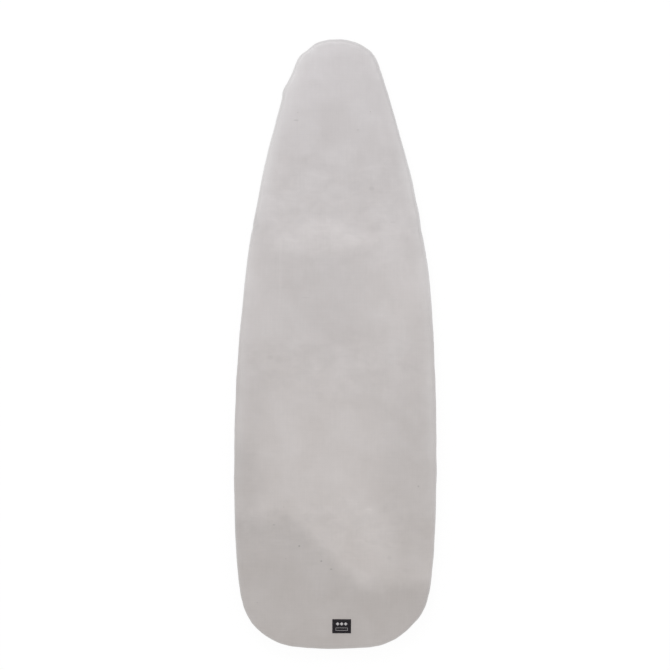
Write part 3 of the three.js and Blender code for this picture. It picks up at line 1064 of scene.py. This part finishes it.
# A soft-edged oval patch, its edge broken by a slow noise
def patchNodes(cut, middle, reach):
    offset = calcNode("VectorMath", "SUBTRACT", cut, middle).outputs[0]
    scaled = calcNode("VectorMath", "DIVIDE", offset, reach).outputs[0]
    away = calcNode("VectorMath", "LENGTH", scaled).outputs["Value"]
    slow = noise(cut, patchEdge["perMetre"], detail=3.0, roughness=0.6)
    nearer = calc("ADD", away, -patchEdge["broken"] / 2)
    broken = calc("MULTIPLY_ADD", slow, patchEdge["broken"], nearer)
    return {"Share": remap(broken, *patchEdge["fades"], 1.0, 0.0)}


origin = (0.0, 0.0, 0.0)
weave = nodeGroup("plainWeave", weaveNodes, {"Cut": origin, "Yarns per metre": 1600.0})
patch = nodeGroup("patch", patchNodes, {"Cut": origin, "Middle": origin, "Reach": (0.1, 0.1, 1.0)})
cloudy = nodeGroup("cloudy", cloudNodes, {"Cut": origin, "Size": 0.08})
fibres = nodeGroup("fibres", fibreNodes, {"Cut": origin, "Per metre": 900.0})
twistInputs = {"Cut": origin, "Turns per metre": 900.0, "Girth turns per metre": 700.0}
twist = nodeGroup("twist", twistNodes, twistInputs)


def colour(*levels):
    shares = [level / 255 for level in levels]
    return (*[c / 12.92 if c <= 0.04045 else ((c + 0.055) / 1.055) ** 2.4 for c in shares], 1.0)


# A finish: build takes the cloth's own measure and the look, and gives the shader's linked inputs
# and the heights of its bumps
def makeFinish(name, look, build):
    material = bpy.data.materials.new(name)
    material.use_nodes = True
    tree = material.node_tree
    shader = tree.nodes["Principled BSDF"]
    inputs, *heights = build(addNode("UVMap", {"uv_map": "cut"}, tree).outputs["UV"], look)
    normal = {}
    for height, (distance, strength) in zip(heights, look["bumps"]):
        bump = addNode("Bump", Height=height, Distance=distance, Strength=strength, **normal)
        normal = {"Normal": bump.outputs["Normal"]}
    fill(shader, **inputs, **look["plain"], **normal)
    return material


def cloudAt(cut, size):
    return useGroup(cloudy, Cut=cut, Size=size)["Cloud"]


cotton = {
    "nose": colour(193, 190, 191),
    "tail": colour(193, 187, 183),  # a little warmer towards the square end
    "evenShare": 0.76,  # of those two over the clouds
    "worn": colour(206, 202, 202),
    "dull": colour(182, 176, 174),
    "cloudSize": 0.085,
    "cloudRange": (0.34, 0.66),
    "grainSize": 0.014,
    "grainTone": (0.35, 0.65, 0.985, 1.015),  # range of the noise, and of what comes of it
    "slubTone": (0.36, 0.64, 0.98, 1.016),
    "speck": colour(120, 112, 106),
    "speckMost": 0.5,
    "yarns": 1500.0,
    "roughness": (0.3, 0.7, 0.43, 0.55),
    "plain": {"Metallic": 0.42, "Sheen_Weight": 0.6, "Sheen_Roughness": 0.35},
    "bumps": [(0.0004, 0.25), (0.00012, 0.7)],  # of the grain and the weave: height, strength
    # Painted highlight of the rim and the nose
    "rubbed": colour(222, 221, 221),
    "rubbedMost": 0.45,  # share of that colour where the painted highlight is strongest
    "patches": [  # painted light and shade where folds and slopes of the cloth catch or turn from the light: place, reach, change
        ((-0.030, -0.215), (0.120, 0.140), 0.035),
        ((0.050, -0.390), (0.090, 0.110), 0.030),
        ((0.165, -0.300), (0.065, 0.230), -0.050),
        ((-0.215, -0.310), (0.060, 0.110), -0.080),
        ((-0.010, 0.100), (0.120, 0.120), -0.030),
        # painted highlight of the crease across the nose's half
        ((-0.035, 0.222), (0.105, 0.034), 0.085),
        ((0.060, 0.250), (0.100, 0.060), 0.020),
        ((0.120, 0.125), (0.090, 0.100), 0.060),
        ((-0.200, -0.130), (0.050, 0.160), -0.035),
        ((-0.190, 0.175), (0.030, 0.060), 0.030),
    ],
    "marks": [  # small scuffs and specks, and painted shade and light where the rim dips and along creases
        ((-0.087, 0.475), (0.0060, 0.0016), -0.14),
        ((0.045, 0.455), (0.0022, 0.0022), -0.10),
        ((0.075, 0.330), (0.0055, 0.0040), -0.08),
        ((-0.130, -0.386), (0.0030, 0.0020), -0.16),
        ((-0.076, -0.431), (0.0022, 0.0022), -0.30),
        ((-0.029, -0.463), (0.0022, 0.0020), -0.30),
        ((-0.008, -0.480), (0.0030, 0.0018), -0.25),
        ((0.177, -0.303), (0.0022, 0.0022), -0.20),
        # painted shade where the rim dips at both sides
        ((-0.176, 0.255), (0.0090, 0.0200), -0.09),
        ((0.181, 0.240), (0.0080, 0.0100), -0.08),
        # painted shade of a fold near the nose
        ((-0.110, 0.530), (0.0120, 0.0180), -0.05),
        # painted highlight along a crease
        ((-0.119, 0.155), (0.0035, 0.0600), 0.03),
        ((0.120, 0.259), (0.0060, 0.0020), -0.06),
        ((-0.065, 0.098), (0.0080, 0.0016), -0.05),
        ((-0.140, -0.030), (0.0060, 0.0050), -0.05),
        ((0.071, -0.352), (0.0080, 0.0020), 0.05),
        ((0.116, -0.455), (0.0050, 0.0060), -0.06),
        ((0.150, -0.482), (0.0090, 0.0050), -0.04),
    ],
    # Painted shade past the end's fold, where the square end slopes away from the light
    "foldedEnd": {"soft": 0.018, "uneven": 0.050, "wanders": 26.0, "change": -0.115},
    "crinkled": [  # bands across the cover that were folded and pressed in the pack: place, reach
        ((0.000, 0.290), (0.260, 0.135)),
        ((0.000, -0.045), (0.260, 0.075)),
        ((0.000, -0.397), (0.260, 0.070)),
    ],
    "crinkles": (28.0, 52.0),  # to the metre, across and along
    "crinkleTone": 0.16,
    "crinkleRise": 3.0,
}


def patchShare(cut, place, reach):
    return useGroup(patch, Cut=cut, Middle=(*place, 0.0), Reach=(*reach, 1.0))["Share"]


# Share of the painted shade of the square end: one past the end's fold, zero before it
def endShadeShare(cut, x, y):
    fold = cotton["foldedEnd"]
    past = calc("SUBTRACT", remap(x, *foldAcross, *foldLevels), y)
    wander = calc("SUBTRACT", noise(cut, fold["wanders"], detail=3.0, roughness=0.6), 0.5)
    past = calc("MULTIPLY_ADD", wander, fold["uneven"], past)
    return remap(past, -fold["soft"], fold["soft"])


# Small crinkles, about zero, and only in the bands that were folded
def crinkleHeight(cut):
    share = 0.0
    for place, reach in cotton["crinkled"]:
        share = calc("MAXIMUM", share, patchShare(cut, place, reach))
    ripple = noise(stretch(cut, (*cotton["crinkles"], 1.0)), 1.0, distortion=0.6)
    return calc("MULTIPLY", calc("SUBTRACT", ripple, 0.5), share)


# A tone lightened or darkened by a part of itself
def changeTone(tone, share, change):
    return calc("MULTIPLY_ADD", calc("MULTIPLY", share, change), tone, tone)


def cottonFinish(cut, look):
    threads = useGroup(weave, Cut=cut, Yarns_per_metre=look["yarns"])
    clouds = useGroup(cloudy, Cut=cut, Size=look["cloudSize"])
    grain = cloudAt(cut, look["grainSize"])
    x, y = splitXY(cut)
    base = blendColour(remap(clouds["Cloud"], *look["cloudRange"]), look["dull"], look["worn"])
    even = blendColour(remap(y, skinLow.y, skinHigh.y), look["tail"], look["nose"])
    base = blendColour(look["evenShare"], base, even)
    tone = calc("MULTIPLY", remap(threads["Slub"], *look["slubTone"]), remap(grain, *look["grainTone"]))
    # Painted light and shade, and the scuffs and specks among the marks
    for place, reach, change in look["patches"] + look["marks"]:
        tone = changeTone(tone, patchShare(cut, place, reach), change)
    # painted shade of the square end
    tone = changeTone(tone, endShadeShare(cut, x, y), look["foldedEnd"]["change"])
    crinkle = crinkleHeight(cut)
    tone = changeTone(tone, crinkle, look["crinkleTone"])
    toned = addNode("CombineColor", Red=tone, Green=tone, Blue=tone).outputs[0]
    base = blendColour(1.0, base, toned, "MULTIPLY")
    # Painted highlight along the rim and the nose, read from the mesh's layer
    paintedHighlight = addNode("Attribute", {"attribute_name": "paintedHighlight"}, cut.id_data).outputs["Fac"]
    base = blendColour(calc("MULTIPLY", paintedHighlight, look["rubbedMost"]), base, look["rubbed"])
    base = blendColour(calc("MULTIPLY", clouds["Speck"], look["speckMost"]), base, look["speck"])
    crinkled = calc("MULTIPLY_ADD", crinkle, look["crinkleRise"], grain)
    inputs = {"Base_Color": base, "Roughness": remap(grain, *look["roughness"])}
    return inputs, crinkled, threads["Height"]


foamLook = {
    "pore": colour(206, 196, 166),
    "wall": colour(236, 230, 208),
    "aged": colour(226, 214, 182),
    "agedMost": 0.4,
    "cells": 900.0,  # to the metre
    "cellRange": (0.1, 0.7),
    "cloudSize": 0.05,
    "plain": {"Roughness": 0.95},
    "bumps": [(0.0005, 0.8)],
}


def foamFinish(cut, look):
    place = addNode("TexCoord", tree=cut.id_data).outputs["Object"]
    cells = addNode("TexVoronoi", Vector=place, Scale=look["cells"])
    wall = remap(cells.outputs["Distance"], *look["cellRange"])
    base = blendColour(wall, look["pore"], look["wall"])
    aged = calc("MULTIPLY", cloudAt(place, look["cloudSize"]), look["agedMost"])
    return {"Base_Color": blendColour(aged, base, look["aged"])}, wall


feltLook = {
    "deep": colour(198, 194, 186),
    "top": colour(222, 219, 212),
    "stray": colour(150, 147, 142),
    "matted": colour(206, 200, 189),
    "topShare": (0.5, 0.75),
    "strayShare": (0.66, 0.72, 0.0, 0.5),
    "mattedShare": (0.35, 0.65, 0.0, 0.35),
    "fibres": 1500.0,  # to the metre
    "cloudSize": 0.045,
    "plain": {"Roughness": 1.0, "Sheen_Weight": 0.25},
    "bumps": [(0.0014, 0.5), (0.0005, 0.8)],  # of the clouds and the fibres
}


def feltFinish(cut, look):
    strands = useGroup(fibres, Cut=cut, Per_metre=look["fibres"])
    cloud = cloudAt(cut, look["cloudSize"])
    base = blendColour(remap(strands["Height"], *look["topShare"]), look["deep"], look["top"])
    base = blendColour(remap(strands["Stray"], *look["strayShare"]), base, look["stray"])
    base = blendColour(remap(cloud, *look["mattedShare"]), base, look["matted"])
    return {"Base_Color": base}, cloud, strands["Height"]


tapeLook = {
    "dull": colour(168, 164, 161),
    "light": colour(190, 187, 184),
    "between": colour(132, 128, 125),  # the yarns
    "betweenShare": (0.1, 0.8, 0.55, 0.0),
    "bias": math.radians(45),
    "yarns": 2200.0,
    "cloudSize": 0.03,
    "plain": {"Roughness": 0.82, "Sheen_Weight": 0.15},
    "bumps": [(0.0001, 0.9)],
}


def tapeFinish(cut, look):
    turned = stretch(cut, (1.0, 1.0, 1.0), look["bias"])
    yarn = useGroup(weave, Cut=turned, Yarns_per_metre=look["yarns"])["Height"]
    base = blendColour(cloudAt(cut, look["cloudSize"]), look["dull"], look["light"])
    return {"Base_Color": blendColour(remap(yarn, *look["betweenShare"]), base, look["between"])}, yarn


elasticLook = {
    "twist": {"Turns_per_metre": 850.0, "Girth_turns_per_metre": 900.0},
    "strand": "Braid",
    "range": (0.5, 1.0),
    "colours": (colour(196, 194, 188), colour(243, 242, 238)),  # between the strands, on them
    "plain": {"Roughness": 0.75},
    "bumps": [(0.0002, 0.8)],
}
greyThread = {
    "twist": {"Turns_per_metre": 1600.0, "Girth_turns_per_metre": 1500.0},
    "strand": "Height",
    "range": (0.0, 1.0),
    "colours": (colour(146, 142, 139), colour(184, 181, 178)),
    "plain": {"Roughness": 0.6, "Sheen_Weight": 0.2},
    "bumps": [(0.00006, 0.8)],
}
blackThread = {**greyThread, "colours": (colour(30, 28, 30), colour(62, 58, 60))}


def cordFinish(cut, look):
    strand = useGroup(twist, Cut=cut, **look["twist"])[look["strand"]]
    return {"Base_Color": blendColour(remap(strand, *look["range"]), *look["colours"])}, strand


# The label's woven figure: a row of pale lozenges over an open bar
labelFigure = {
    "lozenge": (0.0038, 0.0036),  # half width, half height
    "pitch": 0.0086,
    "count": 3,  # odd
    "rowHeight": 0.0050,
    "bar": (0.0126, 0.0030),  # half width, half height
    "barLine": 0.00055,
    "barHeight": -0.0062,
}
labelLook = {
    "yarns": 3600.0,
    "ground": (colour(24, 21, 24), colour(38, 34, 38)),
    "pale": (colour(164, 160, 160), colour(208, 205, 206)),
    "raised": 0.8,  # the figure's threads, to the height of a yarn
    "plain": {"Roughness": 0.8, "Specular_IOR_Level": 0.2},
    "bumps": [(0.00008, 0.9)],
}


# One where a place lies within a rectangle of these half sizes
def inBox(x, y, halfWidth, halfHeight):
    across = calc("LESS_THAN", calc("ABSOLUTE", x), halfWidth)
    up = calc("LESS_THAN", calc("ABSOLUTE", y), halfHeight)
    return calc("MULTIPLY", across, up)


def labelFigureMask(cut):
    f = labelFigure
    x, y = splitXY(cut)
    rowY = calc("SUBTRACT", y, f["rowHeight"])
    barY = calc("SUBTRACT", y, f["barHeight"])
    shifted = calc("ADD", x, f["pitch"] * 50)  # whole pitches, so that no place is below zero
    across = calc("DIVIDE", calc("PINGPONG", shifted, f["pitch"] / 2), f["lozenge"][0])
    up = calc("DIVIDE", calc("ABSOLUTE", rowY), f["lozenge"][1])
    lozenge = calc("LESS_THAN", calc("ADD", across, up), 1.0)
    inRow = calc("LESS_THAN", calc("ABSOLUTE", x), f["pitch"] * f["count"] / 2)
    outer = inBox(x, barY, *f["bar"])
    inner = inBox(x, barY, *(half - f["barLine"] for half in f["bar"]))
    bar = calc("SUBTRACT", outer, inner)
    return calc("MAXIMUM", calc("MULTIPLY", lozenge, inRow), bar)


def labelFinish(cut, look):
    threads = useGroup(weave, Cut=cut, Yarns_per_metre=look["yarns"])
    figure = labelFigureMask(cut)
    ground = blendColour(threads["Warp"], *look["ground"])
    pale = blendColour(threads["Height"], *look["pale"])
    raised = calc("MULTIPLY_ADD", figure, look["raised"], threads["Height"])
    return {"Base_Color": blendColour(figure, ground, pale)}, raised


# A piece in the place of one CAD node, in its slot's finish
def addPiece(mesh, node, slot, look, build):
    piece = makeObject(mesh.name, mesh, makeFinish(slot, look, build))
    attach(piece, "root")
    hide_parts(node)
    return piece


skirt, skirtFlats, skirtReach = skirtRings()
skirt = settledRings(skirt, skirtReach)
skinMesh = coverMesh(skirt, skirtFlats, skirtReach)
cover = addPiece(skinMesh, "cover_fabric", "metallised_cotton", cotton, cottonFinish)
setAll(cover.modifiers.new("cloth thickness", "SOLIDIFY"), {"thickness": skin["thickness"], "offset": -1})
print("cover:", len(skinMesh.polygons), "faces")

foamMesh = padMesh("foam_pad_layer", foamLow.z, foamHigh.z, padding["middleRelief"], 1.0)
foam = addPiece(foamMesh, "foam_pad", "foam", foamLook, foamFinish)
feltMesh = padMesh("felt_pad_layer", feltLow.z, feltHigh.z, 0.0, padding["middleRelief"])
felt = addPiece(feltMesh, "felt_pad", "felt", feltLook, feltFinish)
print("padding: foam and felt")

hemTape = addPiece(tapeMesh(), "hem_tape", "bias_tape", tapeLook, tapeFinish)
addPiece(elasticMesh(), "hem_elastic", "elastic", elasticLook, cordFinish)
hemStitches = addPiece(hemStitchMesh(), "hem_stitching", "grey_thread", greyThread, cordFinish)
print("hem: tape, elastic and seam")

wovenLabel = addPiece(labelMesh(), "woven_label", "label_weave", labelLook, labelFinish)
labelStitches = addPiece(labelStitchMesh(), "label_stitching", "black_thread", blackThread, cordFinish)
print("label and its seam")

studio = {
    "white": (1.0, 1.0, 1.0, 1.0),
    "floorSize": 40.0,
    "floorLevel": -0.0002,
    "floorColour": (0.86, 0.86, 0.86, 1.0),
    "floorGlow": 1.03,
    "glowShare": 0.9,  # of what a look at the floor shows
    "zenith": (0.730, 0.727, 0.725, 1.0),  # a light tent: dimmer overhead than at its sides
    "horizon": (1.08, 1.07, 1.07, 1.0),
    "keyPlace": (-0.55, 1.75, 2.35),
    "keyTarget": (0.0, 0.1, 0.0),
    "key": {"shape": "DISK", "size": 1.2, "energy": 15.5, "color": (0.97, 0.97, 1.0)},
    "cameraHeight": 7.5,
    "sensor": 36,
    "frameWidth": 1.4281,  # at the level of the cover's edge
    "frameMiddle": (-0.0020, 0.0184),
    "roll": math.radians(0.26),
}


# One for the rays that see the ground or the sky by themselves or in a gloss, zero for those that light
def lookingRays(tree):
    rays = addNode("LightPath", tree=tree).outputs
    seen = calc("MAXIMUM", rays["Is Camera Ray"], rays["Is Glossy Ray"])
    return calc("MAXIMUM", seen, rays["Is Transmission Ray"])


def mixShaders(share, first, second):
    node = addNode("MixShader", Fac=share)
    put(node.inputs[1], first)
    put(node.inputs[2], second)
    return node.outputs[0]


# White to a look from above, clear from below
def floorFinish():
    material = bpy.data.materials.new("white_floor")
    material.use_nodes = True
    tree = material.node_tree
    tree.nodes.clear()
    matt = addNode("BsdfDiffuse", tree=tree, Color=studio["floorColour"]).outputs[0]
    glow = addNode("Emission", tree=tree, Color=studio["white"], Strength=studio["floorGlow"]).outputs[0]
    shown = mixShaders(calc("MULTIPLY", lookingRays(tree), studio["glowShare"]), matt, glow)
    below = addNode("NewGeometry", tree=tree).outputs["Backfacing"]
    clear = addNode("BsdfTransparent", tree=tree).outputs[0]
    addNode("OutputMaterial", Surface=mixShaders(below, shown, clear))
    return material


floorHalf = studio["floorSize"] / 2
floorCorners = np.array([(-1, -1), (1, -1), (1, 1), (-1, 1)]) * floorHalf
floorPlaces = np.column_stack([floorCorners, np.full(4, studio["floorLevel"])])
floorMesh = bpy.data.meshes.new("floor")
floorMesh.from_pydata(floorPlaces, [], [(0, 1, 2, 3)])
floor = makeObject("floor", floorMesh, floorFinish(), smooth=False)


def studioWorld():
    world = bpy.data.worlds.new("studio")
    bpy.context.scene.world = world
    world.use_nodes = True
    tree = world.node_tree
    way = addNode("TexCoord", tree=tree).outputs["Generated"]
    up = addNode("SeparateXYZ", Vector=way).outputs["Z"]
    tent = blendColour(up, studio["horizon"], studio["zenith"])
    fill(tree.nodes["Background"], Color=blendColour(lookingRays(tree), tent, studio["white"]))


def placeObject(name, data, place, turn):
    holder = bpy.data.objects.new(name, data)
    bpy.context.scene.collection.objects.link(holder)
    holder.location = place
    holder.rotation_euler = turn
    return holder


studioWorld()
lamp = bpy.data.lights.new("key", "AREA")
setAll(lamp, studio["key"])
aimX, aimY, aimZ = np.subtract(studio["keyTarget"], studio["keyPlace"])
lampTurn = (math.atan2(math.hypot(aimX, aimY), -aimZ), 0, math.atan2(aimX, -aimY) + math.pi)
placeObject("key", lamp, studio["keyPlace"], lampTurn)

camera = bpy.data.cameras.new("camera")
edgeDistance = studio["cameraHeight"] - topLevel + skin["topRoll"]
setAll(camera, {"sensor_width": studio["sensor"], "sensor_fit": "HORIZONTAL"})
camera.lens = studio["sensor"] * edgeDistance / studio["frameWidth"]
cameraPlace = (*studio["frameMiddle"], studio["cameraHeight"])
bpy.context.scene.camera = placeObject("camera", camera, cameraPlace, (0, 0, studio["roll"]))
bpy.context.scene.view_settings.view_transform = "Standard"
print("studio and camera set")
